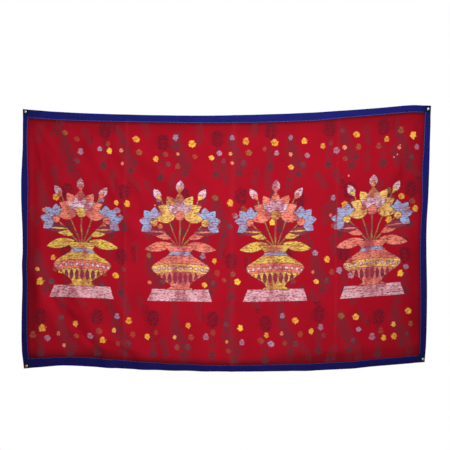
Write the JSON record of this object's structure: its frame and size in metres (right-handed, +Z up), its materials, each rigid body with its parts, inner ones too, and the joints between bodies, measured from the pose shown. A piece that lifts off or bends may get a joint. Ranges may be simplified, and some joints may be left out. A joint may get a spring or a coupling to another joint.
{
  "type": "painted cloth wall hanging with corner tacks",
  "caption": "Wide painted and block-printed red cotton wall hanging with a folded navy binding, held flat to a wall by a round-headed tack through each corner.",
  "frame": {"origin": "the middle of the cloth's top edge, in the plane of the wall", "axes": "+X to the viewer's right along the wall, +Y into the wall, +Z up; the painted face looks along -Y"},
  "size_m": [1.8992, 0.0351, 1.2334],
  "materials": {
    "red_cotton": "plain-weave cotton, dyed crimson, printed and painted by hand, worn along old folds",
    "navy_cotton": "plain-weave cotton binding, matt",
    "thread": "cotton sewing thread",
    "steel": "satin",
    "brass": "aged, satin"
  },
  "bodies": {
    "root": {"panel": "red_cotton", "binding_top": "navy_cotton", "binding_bottom": "navy_cotton", "binding_left": "navy_cotton", "binding_right": "navy_cotton", "tack_top_left": "steel", "tack_top_right": "steel", "tack_bottom_left": "brass", "tack_bottom_right": "steel"}
  },
  "joints": []
}
